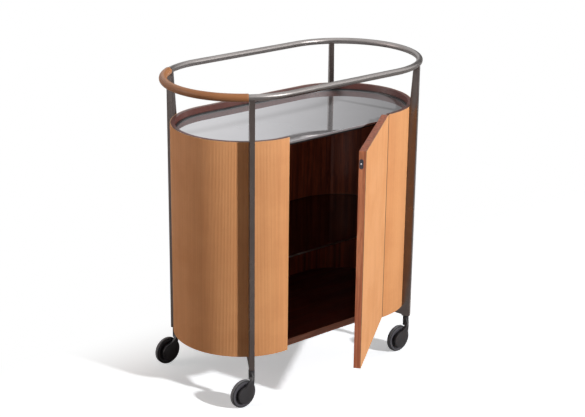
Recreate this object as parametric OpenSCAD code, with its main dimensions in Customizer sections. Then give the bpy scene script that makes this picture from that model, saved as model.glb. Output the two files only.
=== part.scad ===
// Serving trolley: a stadium-plan cabinet clad in fluted leather, with one hinged
// door, a sunk glass top, a glass shelf, four posts that carry a ring handrail,
// and four single-arm swivel castors.
// Axes: +X along the cabinet, -Y towards the front, +Z up from the floor.

/* [Cabinet] */
// Length of the straight part of the plan, between the centres of the round ends
straight_len = 370; // [260:1:600]
// Radius of the round ends over the leather
cab_r = 196; // [150:1:260]
// Height of the cabinet's underside above the floor
cab_z = 136; // [122:1:180]
// Height of the cabinet
cab_h = 612; // [420:1:800]
// Thickness of the leather cladding
leather_t = 2; // [1:0.5:4]
// Thickness of the walnut shell behind the leather
shell_t = 10; // [8:1:16]
// Thickness of the bottom panel
bottom_t = 20; // [12:1:28]
// Straight strip of front wall left on each side of the doorway
strip_w = 6; // [4:1:30]

/* [Glass] */
// Depth of the glass top below the rim of the shell
tray_depth = 20; // [8:1:60]
// Thickness of the glass top
top_glass_t = 6; // [4:1:12]
// Width of the black frame's lip that shows around the glass top
lip_w = 5.5; // [3:0.5:14]
// Height of the frame's lip above the glass top
lip_rise = 3.5; // [1:0.5:8]
// Width of the frame's ledge under the glass top
ledge_w = 14; // [8:1:30]
// Thickness of the frame's ledge
ledge_t = 4; // [2:0.5:8]
// Height of the shelf's upper face above the bottom panel
shelf_rise = 244; // [120:1:320]
// Thickness of the glass shelf
shelf_t = 6; // [4:1:10]
// Clearance between the shelf and the shell
shelf_gap = 2; // [1:0.5:4]
// Set-back of the shelf behind the closed door
shelf_setback = 8; // [3:1:40]
// Diameter of a shelf pin
pin_d = 5; // [4:0.5:8]
// Length of a shelf pin that stands out of the shell
pin_out = 11; // [6:0.5:16]
// Depth of a shelf pin in the shell
pin_in = 7; // [4:0.5:7]

/* [Door] */
// Angle at which the door stands open
door_open = 37.5; // [5:0.5:90]
// Thickness of the door's walnut panel
door_t = 18; // [14:1:24]
// Gap between the door's free edge and the doorway
latch_gap = 2.4; // [2:0.1:4]
// Gap above and below the door, inside the cabinet's own height
door_reveal = 1; // [0.5:0.5:4]
// Diameter of the continuous hinge's knuckles
knuckle_d = 3.6; // [3:0.2:6]
// Diameter of the hinge pin
hinge_pin_d = 1.8; // [1.4:0.1:2.4]
// Number of knuckles along the hinge
knuckles = 19; // [7:2:31]
// How far the knuckles stand proud of the leather
knuckle_proud = 0.6; // [0:0.1:1.2]
// Thickness of the hinge leaves
leaf_t = 1; // [0.6:0.1:1.4]
// Width of the hinge leaf on the shell
leaf_w_shell = 10; // [8:1:14]
// Width of the hinge leaf on the door
leaf_w_door = 15; // [8:1:18]

/* [Catch] */
// Height of the catch's centre below the rim of the cabinet
catch_drop = 36; // [34:1:200]
// Width of the catch plate
catch_w = 11; // [9:0.5:14]
// Height of the catch plate
catch_h = 27; // [20:1:40]
// Thickness of the catch plate and of the strike plate
catch_t = 1.2; // [1:0.1:2]
// Diameter of the catch ball
ball_d = 6; // [5:0.5:8]
// How far the ball stands out of its plate
ball_out = 1.9; // [1:0.1:2.2]
// Outer diameter of the barrel that holds the ball
barrel_d = 9; // [8:0.5:11]
// Depth of the barrel in the door's edge
barrel_len = 20; // [14:1:30]
// Distance from the door's inner face to the ball's centre
catch_inset = 6.5; // [6:0.5:9]
// Width of the walnut stile that the door closes against
stile_w = 12; // [8:1:30]
// Depth of the stile behind the closed door
stile_back = 14; // [8:1:25]
// Length of the strike plate
strike_h = 42; // [36:1:60]
// Length of the strike plate above the ball's centre
strike_above = 13; // [6:0.5:16]
// Length of the strike plate from its lower end to its first screw
strike_end = 6; // [4:0.5:10]
// Distance between the strike plate's screws
strike_pitch = 12; // [8:0.5:20]
// How far the stile laps behind the door's free edge
stile_lap = 8; // [4:1:16]

/* [Handrail and posts] */
// Height of the top of the handrail above the floor
total_h = 880; // [760:1:1040]
// Diameter of the handrail tube
rail_d = 18; // [12:1:26]
// Distance from the leather to the handrail's centre line
rail_out = 16; // [11:1:24]
// Thickness of the leather grip over the tube
grip_t = 2; // [1:0.5:4]
// Gap between the grip's ends and the posts
grip_end_gap = 2; // [1:0.5:10]
// Angle of the posts around the round ends, from the front and back
post_angle = 31; // [15:0.5:60]
// Thickness of a post, seen along the cabinet's wall
post_t = 14; // [8:0.5:20]
// Width of a post beside the cabinet, seen across the wall
post_w = 23.5; // [17:0.5:30]
// Width of a post where it meets the handrail
post_top_w = 16; // [8:0.5:18]
// Height of the posts' feet above the floor
foot_z = 106; // [104:1:116]
// Rounding of a post's outer edges
post_round = 1; // [0.5:0.5:4]
// Reach of a post's arm under the cabinet
arm_len = 70; // [40:1:120]
// Height of a post's arm over the foot, where its lower edge meets the post
arm_root = 4; // [1:1:12]
// Height of the arm at its inner end
arm_tip_h = 14; // [10:1:20]
// Distance from the arm's inner end to its first screw
arm_screw_in = 12; // [8:1:20]
// Distance between the arm's screws
arm_screw_pitch = 28; // [14:1:40]
// Height of the lower wall screws over the cabinet's underside
wall_screw_low = 110; // [40:1:200]
// Depth of the upper wall screws below the glass top's frame
wall_screw_top = 70; // [30:1:150]

/* [Fasteners] */
// Shank diameter of the post screws
screw_d = 5; // [4:0.5:6]
// Head diameter of the post screws
head_d = 9; // [7:0.5:12]
// Head height of the post screws
head_h = 2.8; // [2:0.2:4]
// Depth of a post screw in the post
wall_screw_bite = 10; // [6:1:14]
// Depth of an arm screw in the bottom panel
arm_screw_bite = 14; // [8:1:18]
// Diameter of the small countersunk screws of the hinge and the catch
small_d = 2; // [1.6:0.2:2.4]
// Head diameter of the small countersunk screws
small_head_d = 4; // [3.6:0.2:4.6]
// Length of the small countersunk screws
small_len = 9; // [6:1:9]
// Number of screws in each leaf of the hinge
hinge_screws = 6; // [3:1:10]

/* [Castors] */
// Diameter of a wheel over its tyre
wheel_d = 80; // [60:1:90]
// Width of a wheel
wheel_w = 12; // [10:1:24]
// Radial thickness of the tyre
tyre_t = 6.5; // [4:0.5:12]
// Distance that the axle trails behind the swivel axis
trail = 30; // [20:1:40]
// Diameter of the castor's neck
neck_d = 17; // [14:0.5:19]
// Gap between the tyre and the neck above it
neck_clear = 3; // [2:0.5:5]
// Gap between the neck and the foot of the post
neck_gap = 2.5; // [1.5:0.5:5]
// Diameter of the round hub cover that the arm ends in
hub_d = 49; // [36:1:56]
// Thickness of the hub cover and of the arm
hub_t = 8; // [6:0.5:12]
// Gap between the wheel and the hub cover
hub_gap = 2; // [1:0.5:4]
// Diameter of the dished middle of the wheel
dish_d = 58; // [44:1:62]
// Depth of the dish in each face of the wheel
dish_depth = 3; // [1:0.5:4]
// Diameter of the axle
axle_d = 8; // [6:0.5:10]
// Diameter of the axle's end cap
cap_d = 15; // [12:0.5:22]
// Diameter of the swivel stem
stem_d = 8; // [6:0.5:10]
// Length of the stem inside the post
stem_in = 26; // [15:1:40]
// Length of the stem inside the neck
stem_down = 18; // [12:1:20]

/* [Clearances] */
// Gap between pieces that are fitted together and do not move
fit_gap = 0.2; // [0.1:0.05:0.3]
// Radial clearance of a pin in its hole
run_gap = 0.05; // [0.02:0.01:0.1]

/* [Hidden] */
$fn = 96;
eps = 0.01;
big = 2000;

LEATHER = [0.76, 0.53, 0.35];
WALNUT = [0.32, 0.17, 0.11];
GUNMETAL = [0.36, 0.33, 0.31];
GLASS = [0.25, 0.25, 0.26, 0.6];
BLACK = [0.09, 0.09, 0.10];
STEEL = [0.62, 0.62, 0.64];

half_len = straight_len / 2;
cab_top = cab_z + cab_h;
wood_r = cab_r - leather_t;
inner_r = wood_r - shell_t;
inside_r = inner_r - fit_gap;
door_inner_y = -cab_r + leather_t + door_t;
stile_gap = 1;
doorway_x = half_len - strip_w;

glass_z = cab_top - tray_depth;
frame_z = glass_z - top_glass_t - ledge_t;
glass_r = inner_r - lip_w;
frame_front_y = door_inner_y + stile_gap;
floor_z = cab_z + bottom_t;
shelf_z = floor_z + shelf_rise;

pivot_x = doorway_x - knuckle_d / 2;
pivot_y = -cab_r + knuckle_d / 2 - knuckle_proud;
door_hinge_x = pivot_x - knuckle_d / 2;
door_free_x = -doorway_x + latch_gap;
door_z = cab_z + door_reveal;
door_h = cab_h - 2 * door_reveal;
knuckle_pitch = door_h / knuckles;
knuckle_cut = 0.3;

catch_z = cab_top - catch_drop;
catch_y = door_inner_y - catch_inset;
barrel_wall = 1.2;
strike_hole_d = ball_d - 0.6;
stile_x = -doorway_x;

rail_r = cab_r + rail_out;
rail_z = total_h - rail_d / 2;
post_in_r = cab_r + fit_gap;
post_out_r = post_in_r + post_w;
post_mid_r = (post_in_r + post_out_r) / 2;
arm_in_r = post_in_r - arm_len;
arm_screw_at = [arm_in_r + arm_screw_in, arm_in_r + arm_screw_in + arm_screw_pitch];
wall_screw_z = [cab_z + wall_screw_low, frame_z - wall_screw_top];

axle_z = wheel_d / 2;
neck_top = foot_z - neck_gap;
neck_reach = max(0, trail - neck_d / 2);
neck_low = axle_z + sqrt(max(0, axle_z * axle_z - neck_reach * neck_reach)) + neck_clear;
arm_back_y = -wheel_w / 2 - hub_gap;
arm_front_y = arm_back_y - hub_t;
shoulder_z = wheel_d - 2;
shoulder_half = neck_d * 0.35;
shoulder_top = neck_top - 2;
shoulder_back_rise = 6;
arm_slope = 30;
arm_sweep_r = 8;
hub_skin = 2;
cap_t = 2.5;
wheel_edge_gap = 0.5;
tyre_edge_r = 2.2;
head_taper = 0.7;
hinge_screw_in_shell = 0.62;
hinge_screw_in_door = 0.72;
catch_screw_shift = 0.6;
shelf_pin_turns = [90, 0, -62];

// Two dimensional outlines
module stadium(r) {
    square([straight_len, 2 * r], center = true);
    for (side = [-1, 1])
        translate([side * half_len, 0])
            circle(r, $fn = 180);
}

module stadium_wall(r_out, r_in) {
    difference() {
        stadium(r_out);
        stadium(r_in);
    }
}

module slab(z, h) {
    translate([0, 0, z])
        linear_extrude(h)
            children();
}

// The straight doorway in the front wall, cut through the shell and the leather
module doorway() {
    translate([-doorway_x, -cab_r - 1, cab_z - 1])
        cube([2 * doorway_x, cab_r / 2, cab_h + 2]);
}

// Everything in front of the plane y
module front_of(y) {
    translate([-big / 2, y - big, -1])
        cube([big, big, big]);
}

// Puts a piece drawn in the radial plane, +X outwards, at one of the four posts
module at_post(sx, sy) {
    translate([sx * half_len, 0, 0])
        rotate([0, 0, atan2(sy * cos(post_angle), sx * sin(post_angle))])
            children();
}

module at_every_post() {
    for (sx = [-1, 1], sy = [-1, 1])
        at_post(sx, sy)
            children();
}

// The swivel axis of a castor, kept square to the cabinet
module at_castor(sx, sy) {
    translate([sx * (half_len + post_mid_r * sin(post_angle)),
               sy * post_mid_r * cos(post_angle), 0])
        children();
}

// A hole or rod along the radial direction, from radius r_a out to r_b
module radial_rod(r_a, r_b, z, d) {
    translate([r_a, 0, z])
        rotate([0, 90, 0])
            cylinder(h = r_b - r_a, d = d, $fn = 32);
}

// Handrail
module rail_bar(r_tube) {
    for (side = [-1, 1])
        translate([side * half_len, 0, rail_z])
            rotate([0, 0, -side * 90])
                rotate_extrude(angle = 180, $fn = 180)
                    translate([rail_r, 0])
                        circle(r_tube, $fn = 48);
    for (side = [-1, 1])
        translate([-half_len, side * rail_r, rail_z])
            rotate([0, 90, 0])
                cylinder(h = straight_len, r = r_tube, $fn = 48);
}

module handrail() {
    color(GUNMETAL) rail_bar(rail_d / 2);
}

module handrail_grip() {
    end_angle = asin((post_t / 2 + grip_end_gap) / rail_r);
    sweep = 180 - 2 * post_angle - 2 * end_angle;
    color(LEATHER)
        translate([-half_len, 0, rail_z])
            rotate([0, 0, 180 - sweep / 2])
                rotate_extrude(angle = sweep, $fn = 180)
                    translate([rail_r, 0])
                        difference() {
                            circle(rail_d / 2 + grip_t, $fn = 48);
                            circle(rail_d / 2 + run_gap, $fn = 48);
                        }
}

// Posts
module post_profile() {
    polygon([
        [post_out_r, foot_z],
        [post_out_r, rail_z],
        [post_out_r - post_top_w, rail_z],
        [post_in_r, cab_top],
        [post_in_r, cab_z - fit_gap],
        [arm_in_r, cab_z - fit_gap],
        [arm_in_r, cab_z - fit_gap - arm_tip_h],
        [post_in_r, foot_z + arm_root],
        [post_in_r, foot_z]
    ]);
}

// The post seen from above, with its outer edges rounded
module post_plan() {
    translate([0, -post_t / 2])
        square([post_out_r - post_round, post_t]);
    for (side = [-1, 1])
        translate([post_out_r - post_round, side * (post_t / 2 - post_round)])
            circle(post_round, $fn = 32);
    translate([post_out_r - 2 * post_round, -post_t / 2 + post_round])
        square([2 * post_round, post_t - 2 * post_round]);
}

module post(sx, sy) {
    color(GUNMETAL)
        difference() {
            at_post(sx, sy)
                intersection() {
                    rotate([90, 0, 0])
                        linear_extrude(post_t, center = true)
                            post_profile();
                    slab(foot_z - 1, total_h)
                        post_plan();
                }
            rail_bar(rail_d / 2 + fit_gap);
            at_post(sx, sy) {
                translate([post_mid_r, 0, foot_z - 1])
                    cylinder(h = stem_in + 1 + fit_gap, d = stem_d + 2 * run_gap, $fn = 48);
                for (r = arm_screw_at)
                    translate([r, 0, foot_z - 1])
                        cylinder(h = cab_z - foot_z + 2, d = screw_d + 2 * run_gap, $fn = 32);
                for (z = wall_screw_z)
                    radial_rod(post_in_r - 1, cab_r + wall_screw_bite, z, screw_d);
            }
        }
}

module post_front_left() post(-1, -1);
module post_front_right() post(1, -1);
module post_rear_left() post(-1, 1);
module post_rear_right() post(1, 1);

// Height of the arm's lower edge at radius r
function arm_edge_z(r) =
    let (tip = cab_z - fit_gap - arm_tip_h, root = foot_z + arm_root)
        tip + (root - tip) * (r - arm_in_r) / (post_in_r - arm_in_r);

// Screws up through the arms into the bottom panel
module arm_screws() {
    color(STEEL)
        at_every_post()
            for (r = arm_screw_at) {
                seat = arm_edge_z(r + head_d / 2);
                translate([r, 0, seat - head_h])
                    cylinder(h = head_h, d1 = head_d * head_taper, d2 = head_d, $fn = 32);
                translate([r, 0, seat - eps])
                    cylinder(h = cab_z + arm_screw_bite - seat, d = screw_d, $fn = 32);
            }
}

// Screws from inside the cabinet, out through the wall into the posts
module wall_screws() {
    color(STEEL)
        at_every_post()
            for (z = wall_screw_z) {
                radial_rod(inside_r - head_h, inside_r, z, head_d);
                radial_rod(inside_r - eps, cab_r + wall_screw_bite - 1, z, screw_d);
            }
}

module wall_screw_holes() {
    at_every_post()
        for (z = wall_screw_z)
            radial_rod(inner_r - 5, cab_r + 5, z, screw_d + 2 * run_gap);
}

// Cabinet body
module carcass_shell() {
    color(WALNUT)
        difference() {
            slab(cab_z, cab_h)
                stadium_wall(wood_r, inner_r);
            doorway();
            wall_screw_holes();
            at_shelf_pins()
                radial_rod(inner_r - 5, inner_r + pin_in + 1, 0, pin_d);
            hinge_screw_holes_shell();
        }
}

module leather_cladding() {
    color(LEATHER)
        difference() {
            slab(cab_z, cab_h)
                stadium_wall(cab_r, wood_r);
            doorway();
            wall_screw_holes();
        }
}

module bottom_panel() {
    color(WALNUT)
        difference() {
            slab(cab_z, bottom_t)
                stadium(inside_r);
            front_of(frame_front_y);
            translate([stile_x - stile_w - fit_gap, -cab_r, cab_z - 1])
                cube([stile_w + stile_lap + 2 * fit_gap,
                      cab_r + stile_face_y() + stile_back + fit_gap, bottom_t + 2]);
            at_every_post()
                for (r = arm_screw_at)
                    translate([r, 0, cab_z - 1])
                        cylinder(h = arm_screw_bite + 2, d = screw_d, $fn = 32);
        }
}

// The face of the stile that the door closes against
function stile_face_y() = door_inner_y + stile_gap;

// A rebated walnut stile behind the doorway's free side
module latch_stile() {
    h = frame_z - fit_gap - cab_z;
    color(WALNUT)
        difference() {
            union() {
                translate([stile_x - stile_w, -inner_r, cab_z])
                    cube([stile_w, inner_r + stile_face_y() + stile_back, h]);
                translate([stile_x - eps, stile_face_y(), cab_z])
                    cube([stile_lap, stile_back, h]);
            }
            difference() {
                translate([stile_x - stile_w - 5, -cab_r, cab_z - 1])
                    cube([stile_w + 5, cab_r, h + 2]);
                slab(cab_z - 2, h + 4)
                    stadium(inside_r);
            }
            strike_screw_holes();
            translate([stile_x + eps, catch_y, catch_z])
                rotate([0, -90, 0])
                    cylinder(h = ball_out + 2, d = strike_hole_d, $fn = 48);
        }
}

// Black frame that carries the glass top. Its lip stands up around the glass.
module top_frame() {
    color(BLACK)
        difference() {
            slab(frame_z, glass_z - frame_z + lip_rise)
                stadium(inside_r);
            slab(frame_z + ledge_t, top_glass_t + lip_rise + 1)
                stadium(glass_r + fit_gap);
            slab(frame_z - 1, ledge_t + 2)
                stadium(glass_r - ledge_w);
            front_of(frame_front_y);
        }
    color(BLACK)
        translate([-doorway_x, frame_front_y, frame_z])
            cube([2 * doorway_x, ledge_w, ledge_t]);
}

module glass_top() {
    color(GLASS)
        difference() {
            slab(frame_z + ledge_t, top_glass_t)
                stadium(glass_r);
            front_of(frame_front_y);
        }
}

module glass_shelf() {
    color(GLASS)
        difference() {
            slab(shelf_z - shelf_t, shelf_t)
                stadium(inner_r - shelf_gap);
            front_of(door_inner_y + shelf_setback);
            translate([-doorway_x - stile_w - shelf_gap, -cab_r, shelf_z - shelf_t - 1])
                cube([stile_w + stile_lap + 2 * shelf_gap,
                      cab_r + stile_face_y() + stile_back + shelf_gap, shelf_t + 2]);
        }
}

// Shelf pins stand in the back wall and around both ends, just under the shelf.
// A pin is drawn along +X from an end's centre and turned to its place.
module at_shelf_pins() {
    z = shelf_z - shelf_t - pin_d / 2;
    for (side = [-1, 1])
        translate([side * half_len, 0, z])
            for (turn = shelf_pin_turns)
                rotate([0, 0, side > 0 ? turn : 180 - turn])
                    children();
}

module shelf_pins() {
    color(STEEL)
        at_shelf_pins()
            radial_rod(inner_r - pin_out, inner_r + pin_in, 0, pin_d);
}

// Continuous hinge. Knuckles of the two leaves alternate along the pin.
module hinge_knuckles(first) {
    for (i = [first : 2 : knuckles - 1])
        translate([pivot_x, pivot_y, door_z + i * knuckle_pitch + knuckle_cut / 2])
            cylinder(h = knuckle_pitch - knuckle_cut, d = knuckle_d, $fn = 32);
}

module knuckle_room(first) {
    for (i = [first : 2 : knuckles - 1])
        translate([pivot_x - knuckle_d / 2 - fit_gap, pivot_y - knuckle_d,
                   door_z + i * knuckle_pitch - knuckle_cut / 2])
            cube([knuckle_d + 2 * fit_gap, knuckle_d * 1.5 + fit_gap,
                  knuckle_pitch + knuckle_cut]);
}

module pin_room() {
    translate([pivot_x, pivot_y, door_z - 1])
        cylinder(h = door_h + 2, d = hinge_pin_d + 2 * run_gap, $fn = 32);
}

module hinge_leaf_shell() {
    color(STEEL)
        difference() {
            union() {
                hinge_knuckles(0);
                difference() {
                    translate([pivot_x + knuckle_d / 2 - leaf_t, pivot_y, door_z])
                        cube([leaf_t - fit_gap / 2, leaf_w_shell, door_h]);
                    knuckle_room(1);
                }
            }
            pin_room();
            hinge_screw_holes_shell();
        }
}

module hinge_leaf_door_closed() {
    difference() {
        union() {
            hinge_knuckles(1);
            difference() {
                translate([door_hinge_x + fit_gap / 2, pivot_y, door_z])
                    cube([leaf_t - fit_gap / 2, leaf_w_door, door_h]);
                knuckle_room(0);
            }
        }
        pin_room();
        hinge_screw_holes_door();
    }
}

module hinge_pin() {
    color(STEEL)
        translate([pivot_x, pivot_y, door_z])
            cylinder(h = door_h, d = hinge_pin_d, $fn = 32);
}

// One countersunk screw, its head at the origin and its point along +X
module small_screw(extra) {
    rotate([0, 90, 0]) {
        cylinder(h = small_head_d / 2 - small_d / 2 + extra,
                 d1 = small_head_d + 2 * extra, d2 = small_d, $fn = 24);
        cylinder(h = small_len + extra, d = small_d, $fn = 24);
    }
}

function hinge_screw_z(i) = door_z + door_h * (i + 0.5) / hinge_screws;

module at_hinge_screws_shell() {
    y = pivot_y + leaf_w_shell * hinge_screw_in_shell;
    for (i = [0 : hinge_screws - 1])
        translate([pivot_x + knuckle_d / 2 - leaf_t, y, hinge_screw_z(i)])
            children();
}

module at_hinge_screws_door() {
    y = pivot_y + leaf_w_door * hinge_screw_in_door;
    for (i = [0 : hinge_screws - 1])
        translate([door_hinge_x + leaf_t, y, hinge_screw_z(i)])
            mirror([1, 0, 0])
                children();
}

module hinge_screw_holes_shell() {
    at_hinge_screws_shell()
        small_screw(eps);
}

module hinge_screw_holes_door() {
    at_hinge_screws_door()
        small_screw(eps);
}

module hinge_screws_shell() {
    color(STEEL)
        at_hinge_screws_shell()
            small_screw(0);
}

// Turns the pieces of the closed door to the angle at which it stands open
module door_swing() {
    translate([pivot_x, pivot_y, 0])
        rotate([0, 0, door_open])
            translate([-pivot_x, -pivot_y, 0])
                children();
}

module hinge_leaf_door() {
    color(STEEL)
        door_swing()
            hinge_leaf_door_closed();
}

module hinge_screws_door() {
    color(STEEL)
        door_swing()
            at_hinge_screws_door()
                small_screw(0);
}

module door_slab(y, t) {
    translate([door_free_x, y, door_z])
        cube([door_hinge_x - door_free_x, t, door_h]);
}

module door_panel() {
    color(WALNUT)
        door_swing()
            difference() {
                door_slab(-wood_r, door_t);
                hinge_screw_holes_door();
                catch_recess();
                catch_screw_holes();
            }
}

module door_leather() {
    color(LEATHER)
        door_swing()
            door_slab(-cab_r, leather_t);
}

// Ball catch in the door's free edge. +X runs from the edge into the door.
module at_catch() {
    translate([door_free_x, catch_y, catch_z])
        children();
}

module edge_cylinder(x, h, d, fn = 48) {
    translate([x, 0, 0])
        rotate([0, 90, 0])
            cylinder(h = h, d = d, $fn = fn);
}

module catch_plate_shape(grow) {
    for (side = [-1, 1])
        translate([0, 0, side * (catch_h - catch_w) / 2])
            edge_cylinder(0, catch_t + grow, catch_w + 2 * grow);
    translate([0, -catch_w / 2 - grow, -(catch_h - catch_w) / 2])
        cube([catch_t + grow, catch_w + 2 * grow, catch_h - catch_w]);
}

module catch_recess() {
    at_catch() {
        translate([-eps, 0, 0])
            catch_plate_shape(run_gap);
        edge_cylinder(0, barrel_len + fit_gap, barrel_d + 2 * run_gap);
    }
}

function catch_screw_rise() = (catch_h - catch_w) / 2 + catch_screw_shift;

module at_catch_screws() {
    at_catch()
        for (side = [-1, 1])
            translate([0, 0, side * catch_screw_rise()])
                children();
}

module catch_screw_holes() {
    at_catch_screws()
        small_screw(eps);
}

module catch_body() {
    ball_x = ball_d / 2 - ball_out;
    color(GUNMETAL)
        door_swing()
            difference() {
                at_catch()
                    difference() {
                        union() {
                            catch_plate_shape(0);
                            edge_cylinder(0, barrel_len, barrel_d);
                        }
                        edge_cylinder(ball_x, barrel_len - barrel_wall - ball_x,
                                      ball_d + 2 * run_gap);
                        translate([ball_x, 0, 0])
                            sphere(d = ball_d + 2 * run_gap, $fn = 48);
                    }
                catch_screw_holes();
            }
}

module catch_ball() {
    color(STEEL)
        door_swing()
            at_catch()
                translate([ball_d / 2 - ball_out, 0, 0])
                    sphere(d = ball_d, $fn = 48);
}

module catch_screws() {
    color(STEEL)
        door_swing()
            at_catch_screws()
                small_screw(0);
}

// Strike plate on the stile, opposite the ball. It stands up past the stile.
strike_z = catch_z + strike_above - strike_h;

module strike_plate() {
    color(STEEL)
        difference() {
            translate([stile_x, -inner_r + fit_gap, strike_z])
                cube([catch_t, inner_r + stile_face_y() - 2 * fit_gap, strike_h]);
            translate([stile_x - 1, catch_y, catch_z])
                edge_cylinder(0, catch_t + 2, strike_hole_d);
            strike_screw_holes();
        }
}

module at_strike_screws() {
    for (i = [0, 1])
        translate([stile_x + catch_t, catch_y, strike_z + strike_end + i * strike_pitch])
            mirror([1, 0, 0])
                children();
}

module strike_screw_holes() {
    at_strike_screws()
        small_screw(eps);
}

module strike_screws() {
    color(STEEL)
        at_strike_screws()
            small_screw(0);
}

// Castors. Each is drawn with its swivel axis at the origin and the floor at z = 0.
module stem_pins() {
    color(STEEL)
        for (sx = [-1, 1], sy = [-1, 1])
            at_castor(sx, sy)
                translate([0, 0, neck_top - stem_down])
                    cylinder(h = foot_z + stem_in - neck_top + stem_down,
                             d = stem_d, $fn = 48);
}

module stem_collars() {
    color(BLACK)
        for (sx = [-1, 1], sy = [-1, 1])
            at_castor(sx, sy)
                translate([0, 0, neck_top + fit_gap])
                    difference() {
                        cylinder(h = neck_gap - 2 * fit_gap, d = post_t - 1, $fn = 48);
                        translate([0, 0, -1])
                            cylinder(h = neck_gap + 2, d = stem_d + 2 * run_gap, $fn = 48);
                    }
}

// Points on an arc about c, from angle a0 to a1
function arc_points(c, r, a0, a1, steps) = [
    for (i = [0 : steps])
        let (a = a0 + (a1 - a0) * i / steps)
            [c.x + r * cos(a), c.y + r * sin(a)]
];

// The arm seen from the side. Its left edge curves out of the neck and runs tangent
// into the round hub cover, and its right edge drops from the neck to the hub.
module arm_outline() {
    hub = [-trail, axle_z];
    hub_r = hub_d / 2;
    waist = [shoulder_half - hub_t, shoulder_z];
    to_waist = waist - hub;
    touch = atan2(to_waist.y, to_waist.x) - acos(hub_r / norm(to_waist));
    upper_edge = hub * [-sin(arm_slope), cos(arm_slope)] + hub_r + arm_sweep_r;
    fillet_x = -shoulder_half - arm_sweep_r;
    fillet = [fillet_x, (upper_edge + sin(arm_slope) * fillet_x) / cos(arm_slope)];
    polygon(concat(
        [[shoulder_half, shoulder_top], [-shoulder_half, shoulder_top]],
        arc_points(fillet, arm_sweep_r, 0, arm_slope - 90, 8),
        arc_points(hub, hub_r, 90 + arm_slope, 360 + touch, 40),
        [waist]
    ));
}

// The arm seen from the end: it runs forward from the neck to clear the wheel
module arm_section() {
    polygon([
        [-shoulder_half, shoulder_top],
        [0, shoulder_top],
        [0, shoulder_z + shoulder_back_rise],
        [arm_back_y, shoulder_z + 1],
        [arm_back_y, 0],
        [arm_front_y, 0],
        [arm_front_y, shoulder_z]
    ]);
}

module castor_arm(sx, sy) {
    color(BLACK)
        at_castor(sx, sy)
            difference() {
                union() {
                    translate([0, 0, neck_low])
                        cylinder(h = neck_top - neck_low, d = neck_d, $fn = 64);
                    intersection() {
                        rotate([90, 0, 0])
                            linear_extrude(200, center = true)
                                arm_outline();
                        rotate([90, 0, 90])
                            linear_extrude(400, center = true)
                                arm_section();
                    }
                }
                translate([0, 0, neck_top - stem_down - fit_gap])
                    cylinder(h = stem_down + 2, d = stem_d + 2 * run_gap, $fn = 48);
                along_axle(arm_back_y + 1, -(hub_t - hub_skin + 1), axle_d);
            }
}

// A cylinder on the axle's line, from y over the signed length h
module along_axle(y, h, d, fn = 48) {
    translate([-trail, h < 0 ? y + h : y, axle_z])
        rotate([-90, 0, 0])
            cylinder(h = abs(h), d = d, $fn = fn);
}

module axle(sx, sy) {
    start = arm_front_y + hub_skin;
    color(STEEL)
        at_castor(sx, sy)
            along_axle(start, wheel_w / 2 + cap_t - 1 - start, axle_d);
}

module axle_cap(sx, sy) {
    color(BLACK)
        at_castor(sx, sy)
            difference() {
                along_axle(wheel_w / 2 - dish_depth + hub_gap / 4, dish_depth + cap_t, cap_d);
                along_axle(0, wheel_w / 2 + cap_t - 1, axle_d);
            }
}

module wheel(sx, sy) {
    rim_d = wheel_d - 2 * tyre_t;
    color(BLACK)
        at_castor(sx, sy)
            difference() {
                along_axle(-wheel_w / 2 + wheel_edge_gap, wheel_w - 2 * wheel_edge_gap,
                           rim_d - 2 * run_gap, 96);
                along_axle(-wheel_w / 2 - 1, dish_depth + 1, dish_d, 96);
                along_axle(wheel_w / 2 + 1, -(dish_depth + 1), dish_d, 96);
                along_axle(-wheel_w, 2 * wheel_w, axle_d + 2 * run_gap);
            }
}

module tyre(sx, sy) {
    color(BLACK)
        at_castor(sx, sy)
            translate([-trail, 0, axle_z])
                rotate([-90, 0, 0])
                    rotate_extrude($fn = 96) {
                        translate([wheel_d / 2 - tyre_t, -wheel_w / 2])
                            square([tyre_t - tyre_edge_r, wheel_w]);
                        translate([wheel_d / 2 - tyre_t, -wheel_w / 2 + tyre_edge_r])
                            square([tyre_t, wheel_w - 2 * tyre_edge_r]);
                        for (side = [-1, 1])
                            translate([wheel_d / 2 - tyre_edge_r,
                                       side * (wheel_w / 2 - tyre_edge_r)])
                                circle(tyre_edge_r, $fn = 32);
                    }
}

module castor_arm_front_left() castor_arm(-1, -1);
module castor_arm_front_right() castor_arm(1, -1);
module castor_arm_rear_left() castor_arm(-1, 1);
module castor_arm_rear_right() castor_arm(1, 1);
module axle_front_left() axle(-1, -1);
module axle_front_right() axle(1, -1);
module axle_rear_left() axle(-1, 1);
module axle_rear_right() axle(1, 1);
module wheel_front_left() wheel(-1, -1);
module wheel_front_right() wheel(1, -1);
module wheel_rear_left() wheel(-1, 1);
module wheel_rear_right() wheel(1, 1);
module tyre_front_left() tyre(-1, -1);
module tyre_front_right() tyre(1, -1);
module tyre_rear_left() tyre(-1, 1);
module tyre_rear_right() tyre(1, 1);
module axle_cap_front_left() axle_cap(-1, -1);
module axle_cap_front_right() axle_cap(1, -1);
module axle_cap_rear_left() axle_cap(-1, 1);
module axle_cap_rear_right() axle_cap(1, 1);

handrail();
handrail_grip();
post_front_left();
post_front_right();
post_rear_left();
post_rear_right();
arm_screws();
wall_screws();
carcass_shell();
leather_cladding();
bottom_panel();
latch_stile();
top_frame();
glass_top();
glass_shelf();
shelf_pins();
hinge_leaf_shell();
hinge_leaf_door();
hinge_pin();
hinge_screws_shell();
hinge_screws_door();
door_panel();
door_leather();
catch_body();
catch_ball();
catch_screws();
strike_plate();
strike_screws();
stem_pins();
stem_collars();
castor_arm_front_left();
castor_arm_front_right();
castor_arm_rear_left();
castor_arm_rear_right();
axle_front_left();
axle_front_right();
axle_rear_left();
axle_rear_right();
wheel_front_left();
wheel_front_right();
wheel_rear_left();
wheel_rear_right();
tyre_front_left();
tyre_front_right();
tyre_rear_left();
tyre_rear_right();
axle_cap_front_left();
axle_cap_front_right();
axle_cap_rear_left();
axle_cap_rear_right();
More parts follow.
